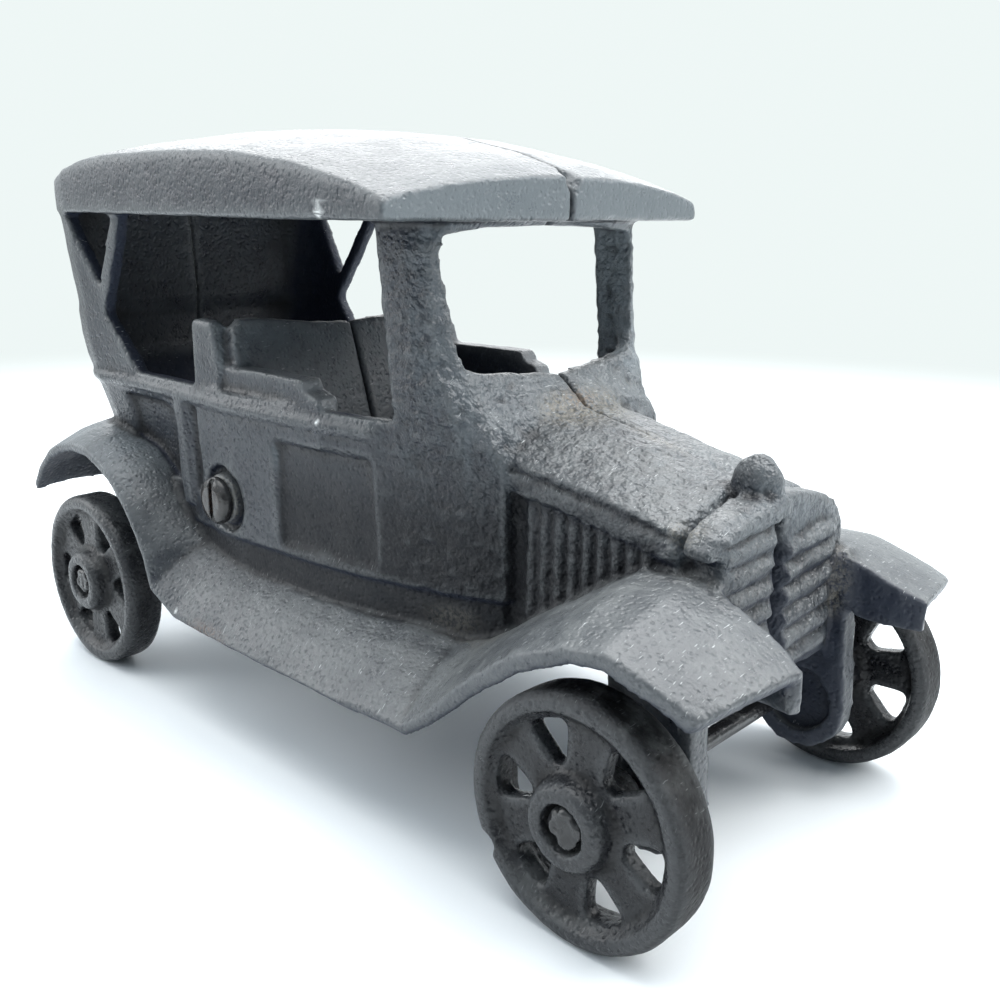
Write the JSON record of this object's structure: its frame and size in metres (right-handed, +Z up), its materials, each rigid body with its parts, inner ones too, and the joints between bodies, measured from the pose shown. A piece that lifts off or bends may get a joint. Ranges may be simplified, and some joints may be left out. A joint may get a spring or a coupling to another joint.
{
  "type": "cast iron toy car",
  "caption": "Cast iron toy touring car: two hollow halves clamped by a slotted screw, with spoked wheels turning on plain rod axles.",
  "frame": {"origin": "on the ground, below the middle of the bounding box", "axes": "+X is forward, +Y is the car's left and +Z is up"},
  "size_m": [0.1678, 0.0764, 0.103],
  "materials": {
    "painted_iron": "worn black paint on rough sand-cast iron",
    "painted_iron_left": "worn black paint on rough sand-cast iron",
    "wheel_iron": "worn black paint on cast iron",
    "rod_steel": "blackened steel, hammered head",
    "screw_steel": "blackened steel with a worn slot"
  },
  "bodies": {
    "body": {"body_half_right": "painted_iron", "body_half_left": "painted_iron_left", "body_screw": "screw_steel"},
    "front_rod": {"front_axle": "rod_steel"},
    "rear_rod": {"rear_axle": "rod_steel"},
    "front_right": {"wheel_front_right": "wheel_iron"},
    "front_left": {"wheel_front_left": "wheel_iron"},
    "rear_right": {"wheel_rear_right": "wheel_iron"},
    "rear_left": {"wheel_rear_left": "wheel_iron"}
  },
  "joints": [
    {"name": "front_axle_spin", "type": "hinge", "parent": "body", "child": "front_rod", "pos_m": [0.06379, 0, 0.017], "axis": [0, 1, 0], "continuous": true},
    {"name": "rear_axle_spin", "type": "hinge", "parent": "body", "child": "rear_rod", "pos_m": [-0.06161, 0, 0.017], "axis": [0, 1, 0], "continuous": true},
    {"name": "wheel_front_right_spin", "type": "hinge", "parent": "front_rod", "child": "front_right", "pos_m": [0.06379, -0.0331, 0.017], "axis": [0, 1, 0], "continuous": true},
    {"name": "wheel_front_left_spin", "type": "hinge", "parent": "front_rod", "child": "front_left", "pos_m": [0.06379, 0.0331, 0.017], "axis": [0, 1, 0], "continuous": true},
    {"name": "wheel_rear_right_spin", "type": "hinge", "parent": "rear_rod", "child": "rear_right", "pos_m": [-0.06161, -0.0331, 0.017], "axis": [0, 1, 0], "continuous": true},
    {"name": "wheel_rear_left_spin", "type": "hinge", "parent": "rear_rod", "child": "rear_left", "pos_m": [-0.06161, 0.0331, 0.017], "axis": [0, 1, 0], "continuous": true}
  ]
}
